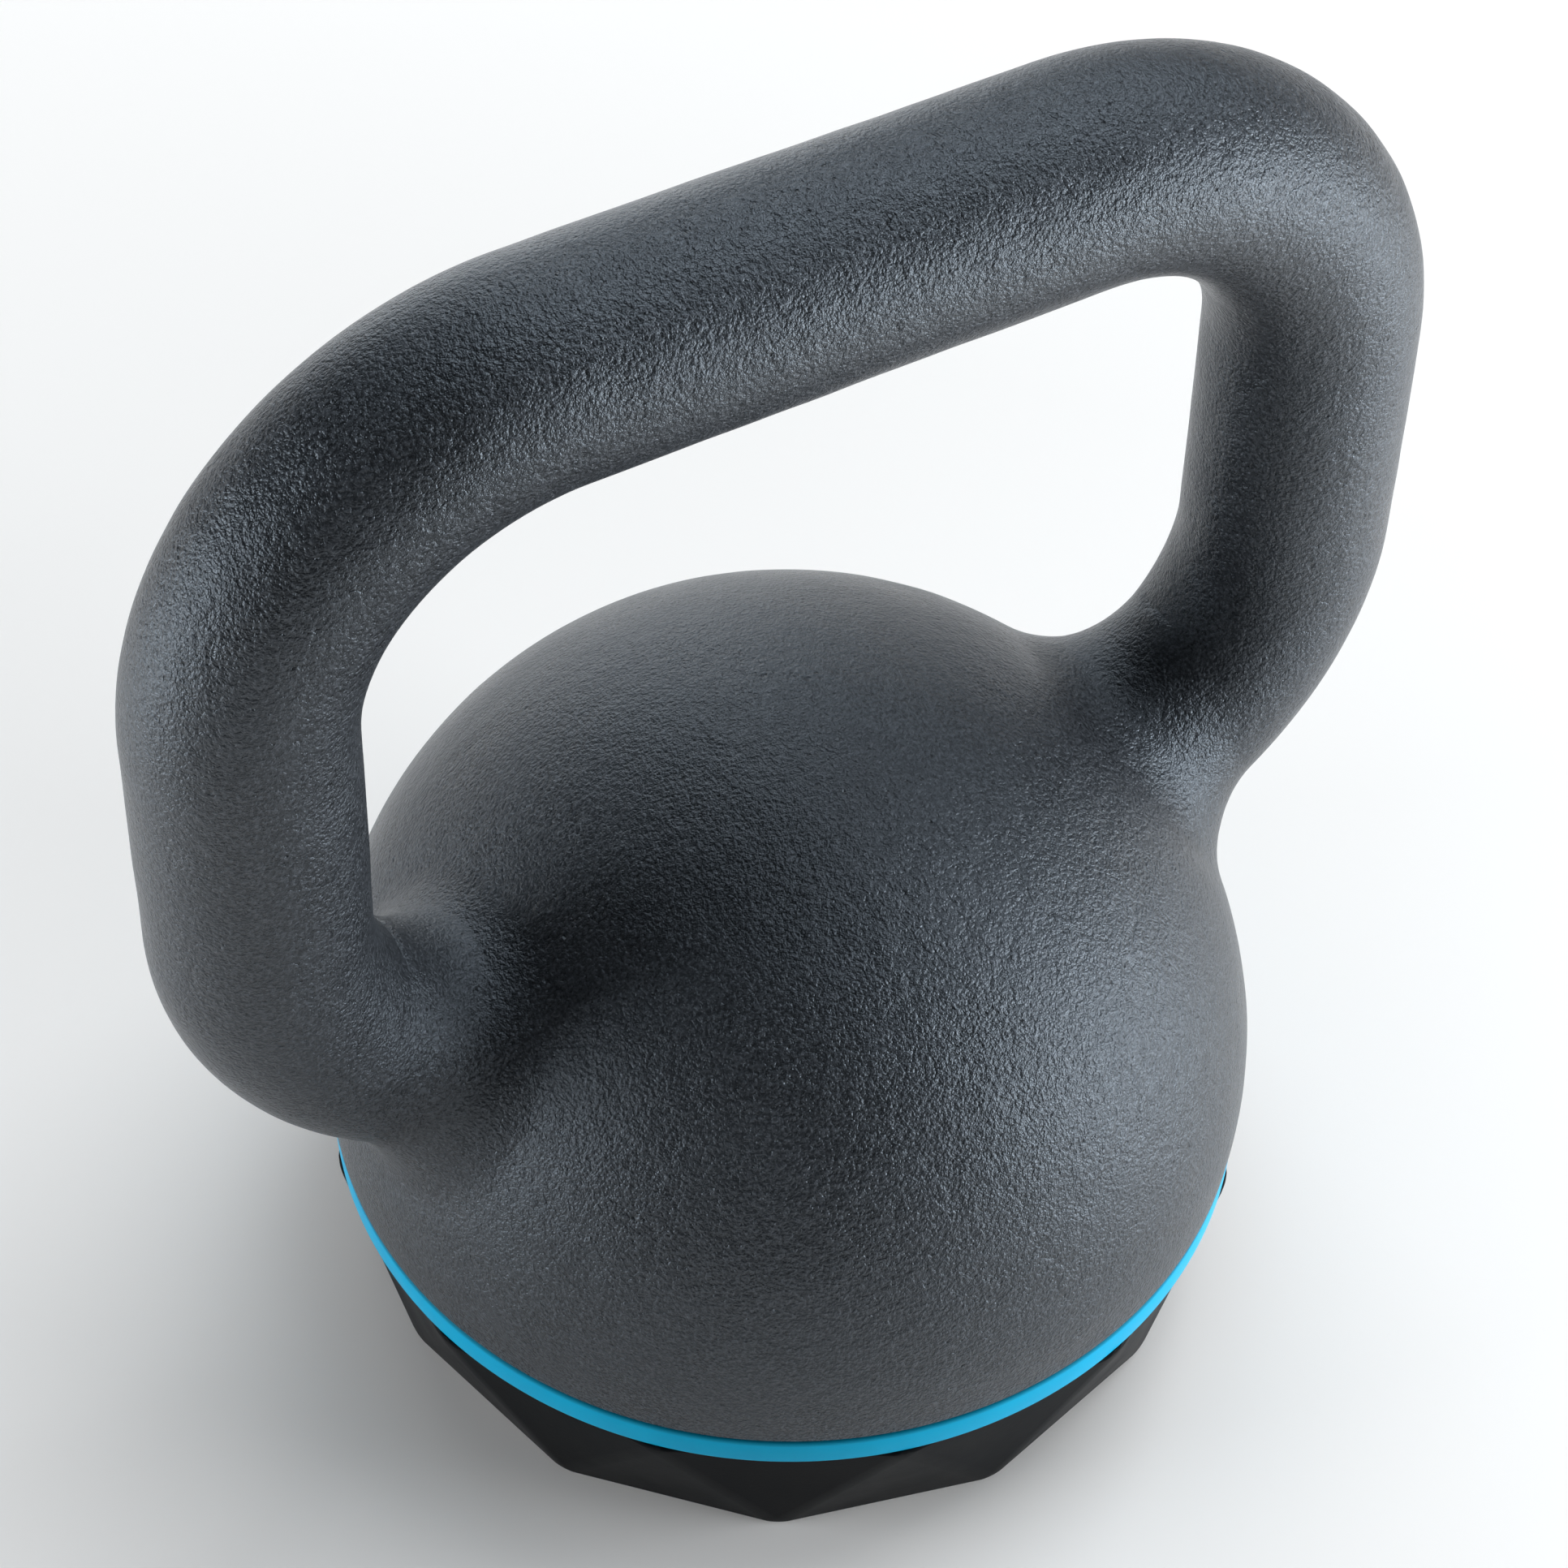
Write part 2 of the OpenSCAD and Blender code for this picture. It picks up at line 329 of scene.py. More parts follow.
# ---------------------------------------------------------------- casting: its mesh
def cell_grid(line):
    """The distance at the corners of a grid of cells above the seam, and the grid's axes."""
    half_x = np.arange(0.5, (cast_high[0] + 2) / CAST_CELL) * CAST_CELL
    half_y = np.arange(0.5, (BALL_R + 2) / CAST_CELL) * CAST_CELL
    z = np.arange(SEAM_Z, TOTAL_H + 2 * CAST_CELL, CAST_CELL)
    quarter = casting_distance(*np.meshgrid(half_x, half_y, z, indexing="ij"), line)
    half = np.concatenate([quarter[::-1], quarter], axis=0)
    whole = np.concatenate([half[:, ::-1], half], axis=1)
    x = np.concatenate([-half_x[::-1], half_x])
    y = np.concatenate([-half_y[::-1], half_y])
    return whole, (x, y, z)


def surface_quads(field, axes):
    """A vertex in each cell that the surface crosses, a quad round each edge that it crosses."""
    inside = field < 0
    corners = [
        inside[i : i - 1 or None, j : j - 1 or None, k : k - 1 or None]
        for i in (0, 1) for j in (0, 1) for k in (0, 1)
    ]
    count = sum(c.astype(np.int8) for c in corners)
    crossed = (count > 0) & (count < 8)
    number = np.full(crossed.shape, -1)
    number[crossed] = np.arange(crossed.sum())
    cells = np.argwhere(crossed)
    middles = [(axis[1:] + axis[:-1]) / 2 for axis in axes]
    points = np.stack([middles[a][cells[:, a]] for a in range(3)], axis=1)
    quads = []
    for axis in range(3):
        side, up = (axis + 1) % 3, (axis + 2) % 3
        ahead = np.take(inside, range(1, inside.shape[axis]), axis)
        behind = np.take(inside, range(inside.shape[axis] - 1), axis)
        edges = np.argwhere(ahead != behind)
        fits = np.ones(len(edges), bool)
        for other in (side, up):
            fits &= (edges[:, other] > 0) & (edges[:, other] < inside.shape[other] - 1)
        edges = edges[fits]
        ring = []
        for back_side, back_up in ((0, 0), (1, 0), (1, 1), (0, 1)):
            cell = edges.copy()
            cell[:, side] -= back_side
            cell[:, up] -= back_up
            ring.append(number[tuple(cell.T)])
        quad = np.stack(ring, axis=1)
        leaving = behind[tuple(edges.T)]
        quad[~leaving] = quad[~leaving][:, ::-1]
        quads.append(quad)
    lowest = cells[:, 2] == 0
    return points, np.concatenate(quads), lowest


def even_out(points, quads, fixed, line, rounds=8):
    """Slides vertices towards the middle of their neighbours and back onto the surface."""
    ends = np.concatenate([quads[:, [i, (i + 1) % 4]] for i in range(4)])
    ends = np.unique(np.sort(ends, axis=1), axis=0)
    degree = np.bincount(ends.ravel(), minlength=len(points))[:, None]
    for _ in range(rounds):
        total = np.zeros_like(points)
        for axis in range(3):
            total[:, axis] += np.bincount(ends[:, 0], points[ends[:, 1], axis], len(points))
            total[:, axis] += np.bincount(ends[:, 1], points[ends[:, 0], axis], len(points))
        moved = settle(points + 0.6 * (total / degree - points), line, rounds=1)
        points = np.where(fixed[:, None], points, moved)
    return points


def seam_ring(points, lowest):
    """Puts the lowest vertices at even steps round the circle where the ball meets the seam."""
    radius = math.sqrt(BALL_R**2 - (SEAM_Z - BALL_Z) ** 2)
    where = np.flatnonzero(lowest)
    angle = np.arctan2(points[where, 1], points[where, 0])
    order = np.argsort(angle)
    even = np.arange(len(where)) * 2 * math.pi / len(where)
    even += np.mean(angle[order] - even)
    points[where[order]] = np.stack(
        [radius * np.cos(even), radius * np.sin(even), np.full(len(where), SEAM_Z)], axis=1
    )
    return points


def cast_unevenness(points):
    """How far sand casting and thick paint leave the surface in or out, at each point."""
    height = np.empty(len(points))
    for i, p in enumerate(points):
        place = Vector(p)
        broad = noise.noise(place / BROAD_SWELL)
        fine = noise.noise(place / FINE_SWELL + FINE_SHIFT)
        height[i] = BROAD_HEIGHT * broad + FINE_HEIGHT * fine
    return height


def under_profile(steps=4):
    """Outline below the seam: down the ball, round its edge, in to the neck and to the spigot."""
    points = []
    edge_turn = math.asin(SHOULDER_DROP / BALL_R)
    seam_turn = math.asin((BALL_Z - SEAM_Z) / BALL_R)
    low_turn = edge_turn - 1.25 * SHOULDER_ROUND / BALL_R
    for i in range(1, steps + 1):
        turn = seam_turn + (low_turn - seam_turn) * i / steps
        points.append((BALL_R * math.cos(turn), BALL_Z - BALL_R * math.sin(turn)))
    edge = (SHOULDER_R, SHOULDER_Z)
    neck = (NECK_R, SHOULDER_Z)
    points += round_corner(points[-1], edge, neck, SHOULDER_ROUND)
    points += [neck, (NECK_R, FOOT_H), (SPIGOT_R, FOOT_H), (SPIGOT_R, SPIGOT_LOW_Z)]
    return points


def cut_tapped_holes(bm, floor_edges):
    """Closes the spigot's underside, leaving a blind hole for each screw."""
    edges = list(floor_edges)
    cone_z = TAPPED_TOP_Z + TAPPED_R / 2
    hole = [(TAPPED_R, SPIGOT_LOW_Z), (TAPPED_R, TAPPED_TOP_Z), (0, cone_z)]
    for centre in screw_places():
        rim = lathe(bm, hole, SCREW_SIDES, centre)[0]
        edges += loop_edges(bm, rim)
    bmesh.ops.triangle_fill(bm, use_beauty=True, edges=edges)


def make_casting(material):
    """Ball and handle in one skin, with the neck and spigot that the ring and foot go round."""
    line = handle_line()
    points, quads, lowest = surface_quads(*cell_grid(line))
    points = seam_ring(settle(points, line, rounds=4), lowest)
    points = even_out(points, quads, lowest, line)
    fade = np.clip((points[:, 2] - SEAM_Z) / SEAM_FADE, 0, 1)
    points += slope(points, line) * (cast_unevenness(points) * fade)[:, None]

    bm = bmesh.new()
    verts = [bm.verts.new(p) for p in points]
    for quad in quads.tolist():
        bm.faces.new([verts[i] for i in quad])
    rim = [e for e in bm.edges if e.is_boundary]
    for radius, z in under_profile():
        grown = bmesh.ops.extrude_edge_only(bm, edges=rim)["geom"]
        rim = [g for g in grown if isinstance(g, bmesh.types.BMEdge) and g.is_boundary]
        for vert in {v for e in rim for v in e.verts}:
            scale = radius / math.hypot(vert.co.x, vert.co.y)
            vert.co = (vert.co.x * scale, vert.co.y * scale, z)
    cut_tapped_holes(bm, rim)
    return add_piece("casting", bm, material, "cast_body")


# ---------------------------------------------------------------- ring, foot and fixings
def make_ring(material):
    """The coloured ring, slightly crowned; its upper edge curls in under the ball's lip."""
    low_z = ring_low[2]
    high_z = ring_high[2]
    bore_low = (RING_BORE_R, low_z)
    bore_high = (RING_BORE_R, high_z)
    crown = ((RING_TOP_R + RING_LOW_R) / 2 + RING_CROWN, (low_z + high_z) / 2)
    profile = [bore_low]
    profile += round_corner(bore_low, (RING_LOW_R, low_z), crown, RING_EDGE)
    profile += [crown]
    profile += round_corner(crown, (RING_TOP_R, high_z), bore_high, RING_CURL, steps=9)
    profile += [bore_high]
    bm = bmesh.new()
    lathe(bm, profile, LATHE_SIDES, closed=True)
    return add_piece("ring", bm, material, "colour_ring")


def foot_blank():
    """The foot's outer form: twelve corners below and twelve above, turned by half a side."""
    bm = bmesh.new()
    soft = bm.edges.layers.float.new("bevel_weight_edge")
    half_side = math.pi / FOOT_SIDES
    low, low_edges = circle_loop(bm, FOOT_LOW_R, 0, FOOT_SIDES)
    high, high_edges = circle_loop(bm, FOOT_TOP_R, FOOT_H, FOOT_SIDES, turn=half_side)
    for i in range(FOOT_SIDES):
        j = (i + 1) % FOOT_SIDES
        bm.faces.new((low[i], low[j], high[i]))
        bm.faces.new((high[i], low[j], high[j]))
    bm.faces.new(low[::-1])
    bm.faces.new(high)
    for edge in bm.edges:
        edge[soft] = 1.0
    for edge in low_edges:
        edge[soft] = FOOT_LOW_SOFT / FOOT_SOFT
    for edge in high_edges:
        edge[soft] = FOOT_TOP_SOFT / FOOT_SOFT
    bmesh.ops.recalc_face_normals(bm, faces=bm.faces)
    mesh = bpy.data.meshes.new("foot_blank")
    bm.to_mesh(mesh)
    bm.free()
    blank = bpy.data.objects.new("foot_blank", mesh)
    bpy.context.scene.collection.objects.link(blank)
    return blank


def cutter(name, profile, sides, centres):
    """Solids turned from one profile round each centre, to cut the foot with."""
    bm = bmesh.new()
    for centre in centres:
        lathe(bm, profile, sides, centre)
    bmesh.ops.recalc_face_normals(bm, faces=bm.faces)
    mesh = bpy.data.meshes.new(name)
    bm.to_mesh(mesh)
    bm.free()
    return bpy.data.objects.new(name, mesh)


def plug(radius, low_z, high_z):
    """Profile of a plain round plug."""
    return [(0, low_z), (radius, low_z), (radius, high_z), (0, high_z)]


def foot_cutters():
    """What the foot is hollowed by: the spigot's cup, the insert's seat, wells and screw holes."""
    axis = [(0, 0)]
    cup = plug(SPIGOT_R + FOOT_GAP, SPIGOT_LOW_Z, FOOT_H + OVERCUT)
    seat = plug(INSERT_R, INSERT_LOW_Z, INSERT_HIGH_Z)
    well = [(0, -OVERCUT), (WELL_R + WELL_SOFT, -OVERCUT)]
    for t in np.linspace(0, math.pi / 2, 5):
        well.append((WELL_R + WELL_SOFT * (1 - math.sin(t)), WELL_SOFT * (1 - math.cos(t))))
    well_top = INSERT_LOW_Z + OVERCUT / 2
    well += [(WELL_R, well_top), (0, well_top)]
    # the screw holes start inside the wells and end inside the cup
    hole = plug(SCREW_HOLE_R, OVERCUT, SPIGOT_LOW_Z + OVERCUT)
    yield cutter("cup_cutter", cup, LATHE_SIDES, axis)
    yield cutter("seat_cutter", seat, LATHE_SIDES, axis)
    yield cutter("well_cutter", well, WELL_SIDES, screw_places())
    yield cutter("hole_cutter", hole, SCREW_SIDES, screw_places())


def apply_modifier(piece, kind, **settings):
    """Gives an object one modifier and keeps what it makes."""
    modifier = piece.modifiers.new("work", kind)
    for key, value in settings.items():
        setattr(modifier, key, value)
    bpy.context.view_layer.update()
    graph = bpy.context.evaluated_depsgraph_get()
    made = bpy.data.meshes.new_from_object(piece.evaluated_get(graph))
    piece.modifiers.clear()
    piece.data = made


def make_foot(material):
    """The faceted rubber foot, moulded with soft edges, a cup in its top and four wells below."""
    blank = foot_blank()
    apply_modifier(blank, "BEVEL", width=FOOT_SOFT, segments=4, limit_method="WEIGHT")
    for tool in foot_cutters():
        bpy.context.scene.collection.objects.link(tool)
        apply_modifier(blank, "BOOLEAN", operation="DIFFERENCE", solver="EXACT", object=tool)
        bpy.data.objects.remove(tool)
    bm = bmesh.new()
    bm.from_mesh(blank.data)
    bpy.data.objects.remove(blank)
    foot = add_piece("foot", bm, material, "rubber_foot")
    # flat facets stay flat between their rounded edges
    apply_modifier(foot, "WEIGHTED_NORMAL", keep_sharp=True, weight=80)
    return foot


def add_socket(bm, centre):
    """A hexagon socket in a screw's face. Returns the edges of its mouth."""
    mouth, mouth_edges = circle_loop(bm, SOCKET_R + SOCKET_CHAMFER, HEAD_LOW_Z, 6, centre)
    throat, _ = circle_loop(bm, SOCKET_R, HEAD_LOW_Z + SOCKET_CHAMFER, 6, centre)
    bottom, _ = circle_loop(bm, SOCKET_R, HEAD_LOW_Z + SOCKET_DEPTH, 6, centre)
    bridge(bm, mouth, throat)
    bridge(bm, throat, bottom)
    point = bm.verts.new((*centre, HEAD_LOW_Z + SOCKET_DEPTH + SOCKET_POINT))
    for i in range(6):
        bm.faces.new((bottom[i], bottom[(i + 1) % 6], point))
    return mouth_edges


def add_screw(bm, centre):
    """A low-headed socket screw, head down: a domed head, a hexagon socket and a plain shank."""
    under_z = INSERT_LOW_Z
    face_edge = (HEAD_FACE_R, HEAD_LOW_Z)
    under_edge = (HEAD_R, under_z)
    profile = round_corner((0, HEAD_LOW_Z), face_edge, under_edge, HEAD_DOME, steps=7)
    profile += round_corner(face_edge, under_edge, (0, under_z), HEAD_EDGE)
    profile += [(SCREW_R, under_z), (SCREW_R, SCREW_TIP_Z - SCREW_TIP_CHAMFER)]
    profile += [(SCREW_R - SCREW_TIP_CHAMFER, SCREW_TIP_Z), (0, SCREW_TIP_Z)]
    rim = lathe(bm, profile, SCREW_SIDES, centre)[0]
    mouth_edges = add_socket(bm, centre)
    bmesh.ops.triangle_fill(bm, use_beauty=True, edges=loop_edges(bm, rim) + mouth_edges)


def make_screws(material):
    """The four screws, in one object as in the CAD."""
    bm = bmesh.new()
    for centre in screw_places():
        add_screw(bm, centre)
    return add_piece("screws", bm, material, "foot_screws")


# ---------------------------------------------------------------- materials: sizes and colours
# widths and depths of the reliefs are in millimetres
PAINT_GRAIN, PAINT_GRAIN_DEPTH = 0.56, 0.35
PAINT_PEEL, PAINT_PEEL_DEPTH = 1.0, 0.09
PAINT_LUMPS, PAINT_LUMPS_DEPTH = 3.4, 0.28
PAINT_PATCHES = 14
PAINT_PIT_DEPTH = 0.20
RING_HAZE = 9
RING_SKIN, RING_SKIN_DEPTH = 0.45, 0.012
RING_GROOVE = 1.5           # painted shade on the ring starts this far below its top
RING_GROOVE_FULL = 0.3      # and is darkest from here up
RUBBER_BLOOM = 18
RUBBER_SKIN, RUBBER_SKIN_DEPTH = 0.5, 0.015
STEEL_SPANGLE = 3.0
STEEL_SCRATCH, STEEL_SCRATCH_DEPTH = 2.4, 0.01
STEEL_SCRATCH_STRETCH = 14


def grey(value, blue=1.0):
    """A grey whose blue is this many times its red, with green between them."""
    return value, value * (1 + 0.35 * (blue - 1)), value * blue, 1.0


PAINT_DARK = grey(0.014, 1.2)
PAINT_LIGHT = grey(0.021, 1.2)
PAINT_CRESTS = grey(0.07, 1.2)
# painted shade: the pits' darker colour stands in for the shade that falls in them
PAINT_PIT_SHADE = grey(0.006, 1.1)
PAINT_SPECKS = grey(0.16, 1.1)
RING_BLUE = (0.0, 0.385, 0.640, 1)
RING_BLUE_LIGHT = (0.001, 0.425, 0.690, 1)
RING_SCUFF = (0.10, 0.50, 0.75, 1)
# painted shade for the ring's top edge, under the ball's lip
RING_SHADE = (0.0, 0.055, 0.085, 1)
RUBBER_BLACK = grey(0.004, 1.25)
RUBBER_BLOOMED = grey(0.007, 1.25)
RUBBER_DUST = grey(0.12)
FLOOR_TONE = (0.94, 0.88, 0.83, 1)


# ---------------------------------------------------------------- materials: node helper
class Nodes:
    """A small helper that adds and wires shader nodes in one material."""

    def __init__(self, name):
        self.material = bpy.data.materials.new(name)
        self.material.use_nodes = True
        self.tree = self.material.node_tree
        self.shader = self.tree.nodes["Principled BSDF"]
        self.place = self.add("ShaderNodeTexCoord").outputs["Object"]

    def add(self, kind, inputs=None, **settings):
        """Adds a node with its settings, and gives its inputs values or links."""
        node = self.tree.nodes.new(kind)
        for key, value in settings.items():
            setattr(node, key, value)
        for key, value in (inputs or {}).items():
            self.give(node.inputs[key], value)
        return node

    def give(self, socket, value):
        """Links a socket to another, or sets its value."""
        if isinstance(value, bpy.types.NodeSocket):
            self.tree.links.new(value, socket)
        else:
            socket.default_value = value

    def set(self, name, value):
        """Gives the material's shader one input."""
        self.give(self.shader.inputs[name], value)

    def shifted(self, offset):
        """The place on the object, moved so that two textures of a kind don't coincide."""
        return self.add("ShaderNodeMapping", {"Vector": self.place, "Location": offset}).outputs[0]

    def noise(self, size_mm, detail=2.0, rough=0.5, offset=None):
        """Smooth noise whose blobs are about size_mm across."""
        place = self.place
        if offset is not None:
            place = self.shifted(offset)
        scale = 1 / (size_mm * MM)
        inputs = {"Vector": place, "Scale": scale, "Detail": detail, "Roughness": rough}
        return self.add("ShaderNodeTexNoise", inputs).outputs["Fac"]

    def spots(self, spacing_mm, size_share, share, offset=(0, 0, 0)):
        """1 at the middle of scattered round spots, 0 between them.

        size_share is a spot's radius over the spacing, share how many of the cells have a spot.
        """
        inputs = {"Vector": self.shifted(offset), "Scale": 1 / (spacing_mm * MM)}
        cells = self.add("ShaderNodeTexVoronoi", inputs)
        near = self.ramp(cells.outputs["Distance"], 0, size_share, 1, 0)
        chosen = self.add("ShaderNodeSeparateColor", {"Color": cells.outputs["Color"]}).outputs[0]
        picked = self.math("LESS_THAN", chosen, share)
        return self.math("MULTIPLY", near, picked)

    def domes(self, size_mm):
        """Low rounded bumps with creases between them, about size_mm apart."""
        size = size_mm * MM
        bend = self.add("ShaderNodeTexNoise", {"Vector": self.place, "Scale": 0.7 / size})
        shift = self.vector("MULTIPLY", bend.outputs["Color"], (size, size, size))
        place = self.vector("ADD", self.place, shift)
        inputs = {"Vector": place, "Scale": 1 / size, "Smoothness": 0.35}
        cells = self.add("ShaderNodeTexVoronoi", inputs, feature="SMOOTH_F1")
        return self.ramp(cells.outputs["Distance"], 0.0, 0.8, 1, 0)

    def vector(self, operation, a, b):
        return self.add("ShaderNodeVectorMath", {0: a, 1: b}, operation=operation).outputs[0]

    def math(self, operation, a, b=0.0):
        return self.add("ShaderNodeMath", {0: a, 1: b}, operation=operation).outputs[0]

    def ramp(self, value, low, high, to_low=0.0, to_high=1.0):
        """value from low..high spread over to_low..to_high, and held at the ends."""
        inputs = {"Value": value, "From Min": low, "From Max": high,
                  "To Min": to_low, "To Max": to_high}
        return self.add("ShaderNodeMapRange", inputs).outputs["Result"]

    def mix(self, share, a, b):
        """Colour a where share is 0, b where it is 1."""
        node = self.add("ShaderNodeMix", data_type="RGBA")
        self.give(node.inputs[0], share)
        self.give(node.inputs[6], a)
        self.give(node.inputs[7], b)
        return node.outputs[2]

    def bump(self, height, depth_mm, under=None):
        """A normal for a relief of this depth, laid over another normal."""
        inputs = {"Height": height, "Distance": depth_mm * MM, "Strength": 1.0}
        if under is not None:
            inputs["Normal"] = under
        return self.add("ShaderNodeBump", inputs).outputs["Normal"]


# ---------------------------------------------------------------- materials
def paint_material():
    """Thick satin charcoal paint over sand-cast iron: orange-peel grain, pits darkened with painted
    shade, and dust specks.
    """
    m = Nodes("satin_paint_on_cast_iron")
    peel = m.domes(PAINT_PEEL)
    grain = m.noise(PAINT_GRAIN, detail=2.0, rough=0.65)
    lumps = m.noise(PAINT_LUMPS, detail=1.5, offset=(0.4, 0.1, 0.7))
    patches = m.noise(PAINT_PATCHES, detail=3.0, offset=(0.2, 0.9, 0.3))
    large_pits = m.spots(4.2, 0.14, 0.45)
    small_pits = m.spots(1.9, 0.17, 0.30, offset=(0.31, 0.12, 0.55))
    pits = m.math("MAXIMUM", large_pits, small_pits)
    specks = m.spots(3.1, 0.055, 0.35, offset=(0.73, 0.41, 0.22))

    tone = m.mix(m.ramp(patches, 0.3, 0.7), PAINT_DARK, PAINT_LIGHT)
    tone = m.mix(m.ramp(grain, 0.45, 0.70), tone, PAINT_CRESTS)
    # painted shade darkens the pits' colour; their depth comes from the pit bump below
    tone = m.mix(m.math("MULTIPLY", pits, 0.8), tone, PAINT_PIT_SHADE)
    tone = m.mix(m.math("MULTIPLY", specks, 0.7), tone, PAINT_SPECKS)
    m.set("Base Color", tone)

    gloss = m.ramp(patches, 0.3, 0.7, 0.26, 0.32)
    m.set("Roughness", m.math("ADD", gloss, m.ramp(grain, 0.3, 0.7, -0.03, 0.05)))
    m.set("Specular IOR Level", 0.57)
    m.set("Specular Tint", (0.80, 0.90, 1.0, 1))
    normal = m.bump(lumps, PAINT_LUMPS_DEPTH)
    normal = m.bump(peel, PAINT_PEEL_DEPTH, normal)
    normal = m.bump(grain, PAINT_GRAIN_DEPTH, normal)
    m.set("Normal", m.bump(m.math("SUBTRACT", 1.0, pits), PAINT_PIT_DEPTH, normal))
    return m.material


def ring_material():
    """Bright blue moulded plastic, slightly uneven in gloss, with painted shade where it curls
    under the ball.
    """
    m = Nodes("blue_moulded_plastic")
    haze = m.noise(RING_HAZE, detail=3.0)
    skin = m.noise(RING_SKIN, detail=2.0)
    scuffs = m.spots(6.0, 0.05, 0.3)
    tone = m.mix(m.ramp(haze, 0.3, 0.7), RING_BLUE, RING_BLUE_LIGHT)
    tone = m.mix(m.math("MULTIPLY", scuffs, 0.4), tone, RING_SCUFF)
    height = m.add("ShaderNodeSeparateXYZ", {0: m.place}).outputs["Z"]
    # painted shade: the colour turns dark toward the ring's top, where the ball's lip shades it
    shade_from = (SHOULDER_Z - RING_GROOVE) * MM
    shade_to = (SHOULDER_Z - RING_GROOVE_FULL) * MM
    m.set("Base Color", m.mix(m.ramp(height, shade_from, shade_to), tone, RING_SHADE))
    m.set("Roughness", m.ramp(haze, 0.3, 0.7, 0.34, 0.42))
    m.set("Specular IOR Level", 0.12)
    m.set("Specular Tint", (0.35, 0.95, 1.0, 1))
    m.set("Normal", m.bump(skin, RING_SKIN_DEPTH))
    return m.material


def rubber_material():
    """Black moulded rubber: a soft gloss, dulled here and there by a little dust."""
    m = Nodes("black_moulded_rubber")
    bloom = m.noise(RUBBER_BLOOM, detail=4.0, rough=0.6)
    skin = m.noise(RUBBER_SKIN, detail=2.0)
    dust = m.spots(2.6, 0.05, 0.25)
    tone = m.mix(m.ramp(bloom, 0.35, 0.7), RUBBER_BLACK, RUBBER_BLOOMED)
    m.set("Base Color", m.mix(m.math("MULTIPLY", dust, 0.5), tone, RUBBER_DUST))
    m.set("Roughness", m.ramp(bloom, 0.3, 0.7, 0.36, 0.48))
    m.set("Specular IOR Level", 0.05)
    m.set("Normal", m.bump(skin, RUBBER_SKIN_DEPTH))
    return m.material


def steel_material(name, tone, rough):
    """Zinc-plated steel: a spangled tone, fine scratches and an uneven sheen."""
    m = Nodes(name)
    spangle = m.noise(STEEL_SPANGLE, detail=3.0, rough=0.65)
    stretch = (1, STEEL_SCRATCH_STRETCH, STEEL_SCRATCH_STRETCH)
    m.place = m.add("ShaderNodeMapping", {"Vector": m.place, "Scale": stretch}).outputs[0]
    scratches = m.noise(STEEL_SCRATCH, detail=3.0)
    dark = grey(tone * 0.85, 1.04)
    light = grey(tone * 1.1, 1.03)
    m.set("Base Color", m.mix(m.ramp(spangle, 0.3, 0.7), dark, light))
    m.set("Metallic", 1.0)
    m.set("Roughness", m.ramp(scratches, 0.3, 0.7, rough - 0.07, rough + 0.09))
    m.set("Normal", m.bump(scratches, STEEL_SCRATCH_DEPTH))
    return m.material


# ---------------------------------------------------------------- stage, lights and camera
# places and lengths here are in metres
CAMERA_AZIMUTH = math.radians(-30.834)
CAMERA_ELEVATION = math.radians(48.543)
CAMERA_ROLL = math.radians(1.776)
CAMERA_AIM = Vector((0.01379, 0.02607, 0.06572))
CAMERA_DISTANCE = 0.65157
CAMERA_LENS = 92.53
CAMERA_SENSOR = 36
DAYLIGHT = (0.92, 1.0, 1.07)
SURROUND = 0.01             # brightness of the dark room beyond the softboxes
FLOOR_R = 6.0
FLOOR_SIDES = 96
FLOOR_DROP = 0.0001         # how far the floor lies below the foot
FLOOR_GLOW = 0.05           # light that comes up through the floor by the foot
FAR_FLOOR_GLOW = 0.5        # and from FAR_FLOOR out
NEAR_FLOOR = 0.2
FAR_FLOOR = 1.0
LIGHT_AIM = Vector((0, 0, 0.09))
# each softbox's name, azimuth and elevation in degrees, distance, width, height, and watts
SOFTBOXES = (
    ("key", 105, 57, 1.2, 0.9, 0.9, 9.6),
    ("top", 100, 80, 1.2, 0.9, 0.9, 2.2),
    ("back", 165, 25, 1.0, 0.7, 0.5, 1.9),
    ("low_right", 50, 6, 0.6, 0.3, 0.26, 2.1),
    ("near_right", 50, -2, 0.5, 0.34, 0.22, 1.5),
    ("low_left", -105, 6, 0.6, 0.3, 0.26, 2.1),
    ("low_back", 170, 8, 0.8, 0.5, 0.4, 0.65),
)


def spherical(azimuth, elevation):
    """Direction from the object: azimuth 0 is -Y, 90 is +X."""
    flat = math.cos(elevation)
    return Vector((math.sin(azimuth) * flat, -math.cos(azimuth) * flat, math.sin(elevation)))


def make_camera():
    """The camera, above the object and to the left of its front, aimed beside its middle."""
    back = spherical(CAMERA_AZIMUTH, CAMERA_ELEVATION)
    right = Vector((math.cos(CAMERA_AZIMUTH), math.sin(CAMERA_AZIMUTH), 0))
    turn = Matrix.Rotation(CAMERA_ROLL, 3, back)
    right = turn @ right
    up = back.cross(right)
    place = Matrix((right, up, back)).transposed().to_4x4()
    place.translation = CAMERA_AIM + back * CAMERA_DISTANCE
    data = bpy.data.cameras.new("camera")
    data.lens = CAMERA_LENS
    data.sensor_width = CAMERA_SENSOR
    data.clip_start = 0.01
    data.clip_end = 50
    camera = bpy.data.objects.new("camera", data)
    camera.matrix_world = place
    bpy.context.scene.collection.objects.link(camera)
    bpy.context.scene.camera = camera


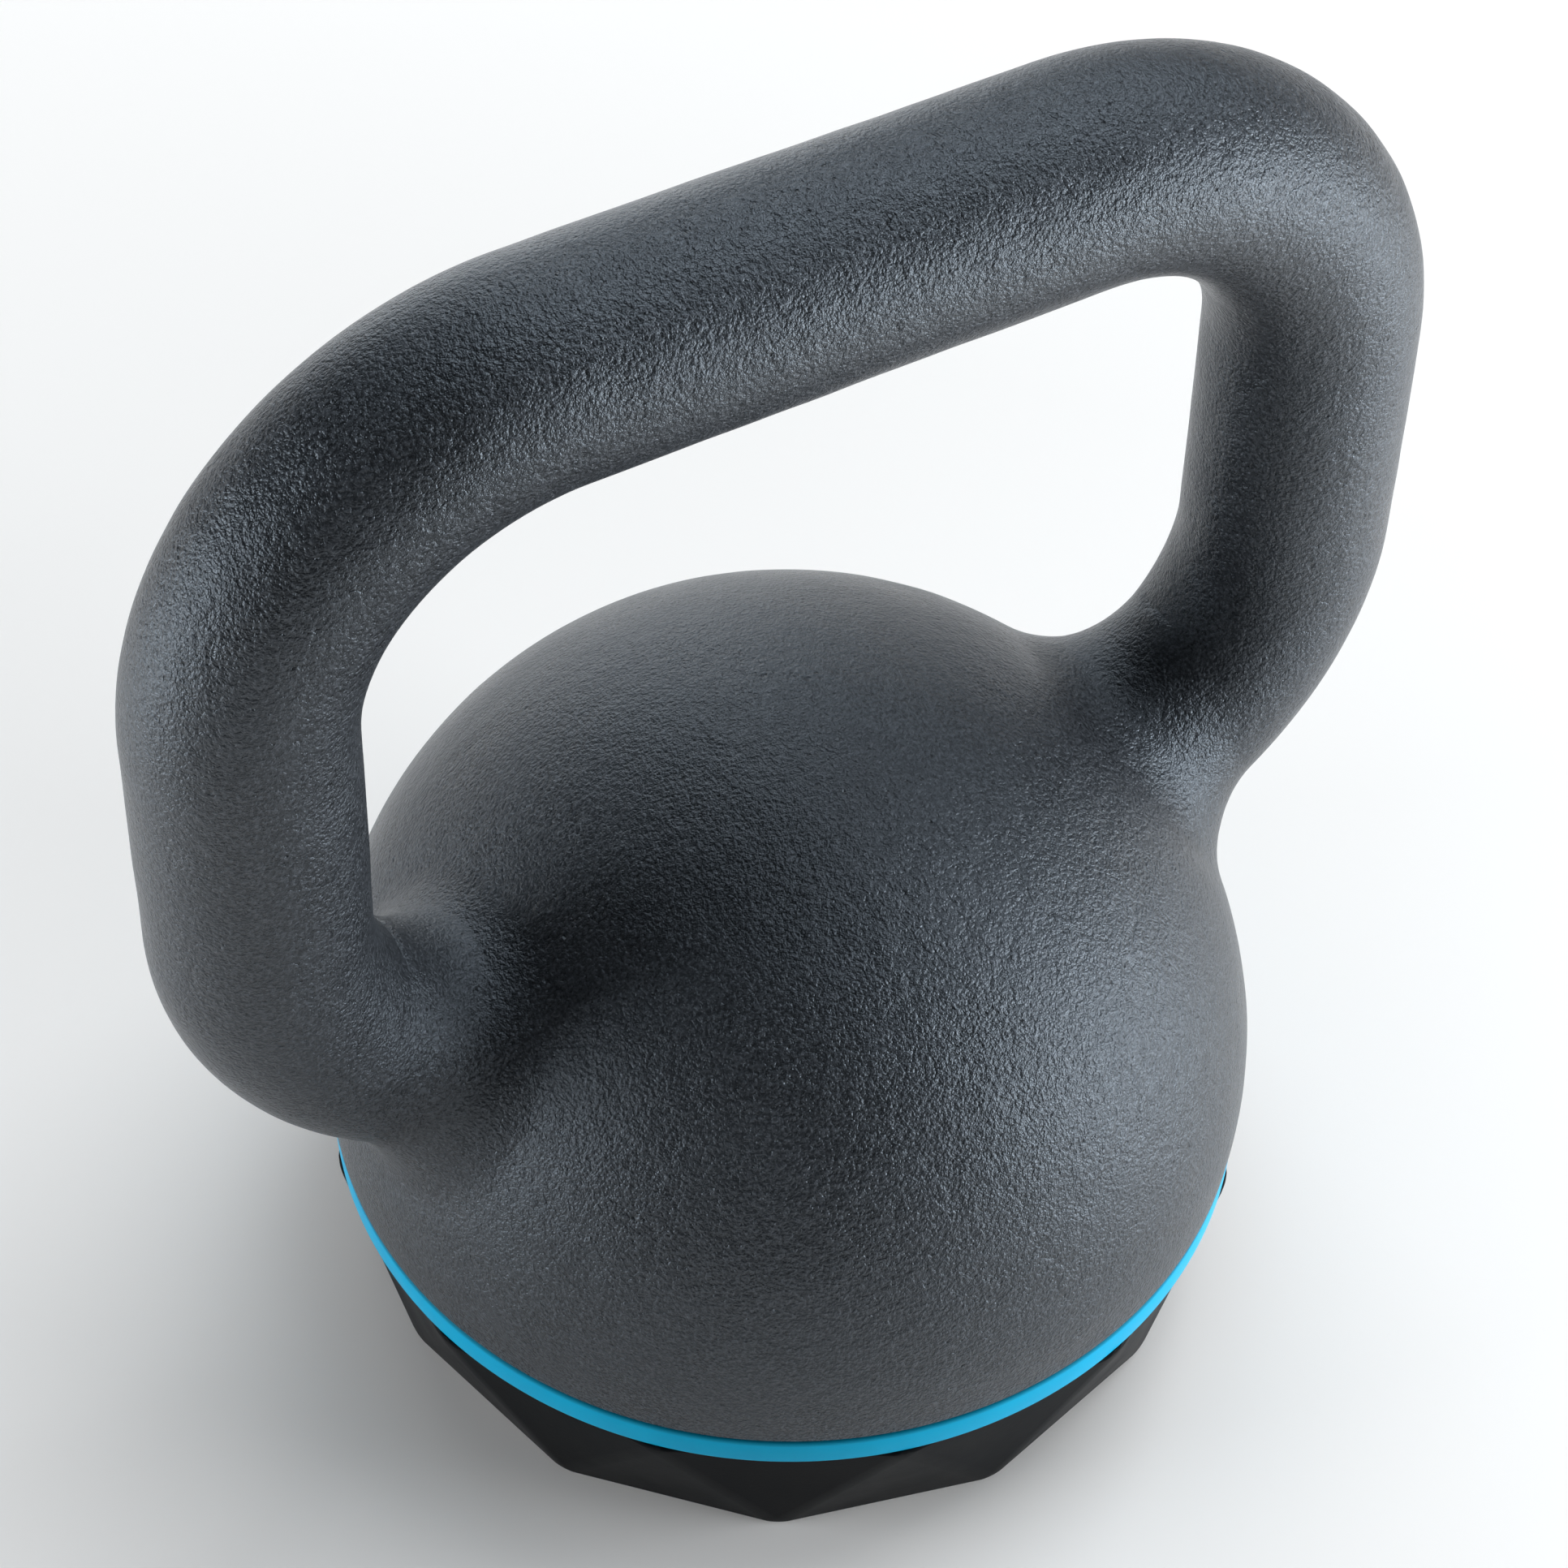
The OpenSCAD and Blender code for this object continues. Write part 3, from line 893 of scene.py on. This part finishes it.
def softbox(name, azimuth, elevation, distance, width, height, power):
    """A rectangular soft light that faces the middle of the object."""
    data = bpy.data.lights.new(name, "AREA")
    data.shape = "RECTANGLE"
    data.size = width
    data.size_y = height
    data.energy = power
    data.color = DAYLIGHT
    light = bpy.data.objects.new(name, data)
    towards = spherical(math.radians(azimuth), math.radians(elevation))
    light.location = LIGHT_AIM + towards * distance
    light.rotation_euler = towards.to_track_quat("Z", "Y").to_euler()
    bpy.context.scene.collection.objects.link(light)


def make_floor():
    """A plain pale floor that also glows as painted light, faintly by the foot and more further
    out.
    """
    bm = bmesh.new()
    circle_loop(bm, FLOOR_R, 0, FLOOR_SIDES)
    bm.faces.new(bm.verts)
    bmesh.ops.recalc_face_normals(bm, faces=bm.faces)
    mesh = bpy.data.meshes.new("floor")
    bm.to_mesh(mesh)
    bm.free()
    m = Nodes("pale_floor")
    m.set("Base Color", FLOOR_TONE)
    m.set("Roughness", 0.9)
    m.set("Specular IOR Level", 0.1)
    m.set("Emission Color", (1, 1, 1, 1))
    distance = m.add("ShaderNodeVectorMath", {0: m.place}, operation="LENGTH").outputs["Value"]
    glow = m.ramp(distance, NEAR_FLOOR, FAR_FLOOR, FLOOR_GLOW, FAR_FLOOR_GLOW)
    m.set("Emission Strength", glow)
    mesh.materials.append(m.material)
    floor = bpy.data.objects.new("floor", mesh)
    floor.location.z = -FLOOR_DROP
    bpy.context.scene.collection.objects.link(floor)


def make_world():
    """Almost no light but the softboxes'."""
    world = bpy.data.worlds.new("studio")
    world.use_nodes = True
    background = world.node_tree.nodes["Background"]
    background.inputs["Color"].default_value = (*DAYLIGHT, 1)
    background.inputs["Strength"].default_value = SURROUND
    bpy.context.scene.world = world


def make_studio():
    """World, floor and lights."""
    bpy.context.scene.view_settings.view_transform = "Standard"
    bpy.context.scene.view_settings.look = "None"
    make_world()
    make_floor()
    for settings in SOFTBOXES:
        softbox(*settings)


# ---------------------------------------------------------------- everything
make_camera()
make_studio()
make_casting(paint_material())
make_ring(ring_material())
make_foot(rubber_material())
make_screws(steel_material("zinc_plated_screws", 0.55, 0.34))
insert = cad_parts["foot_insert"]
insert.material_slots[0].material = steel_material("zinc_plated_sheet", 0.60, 0.30)
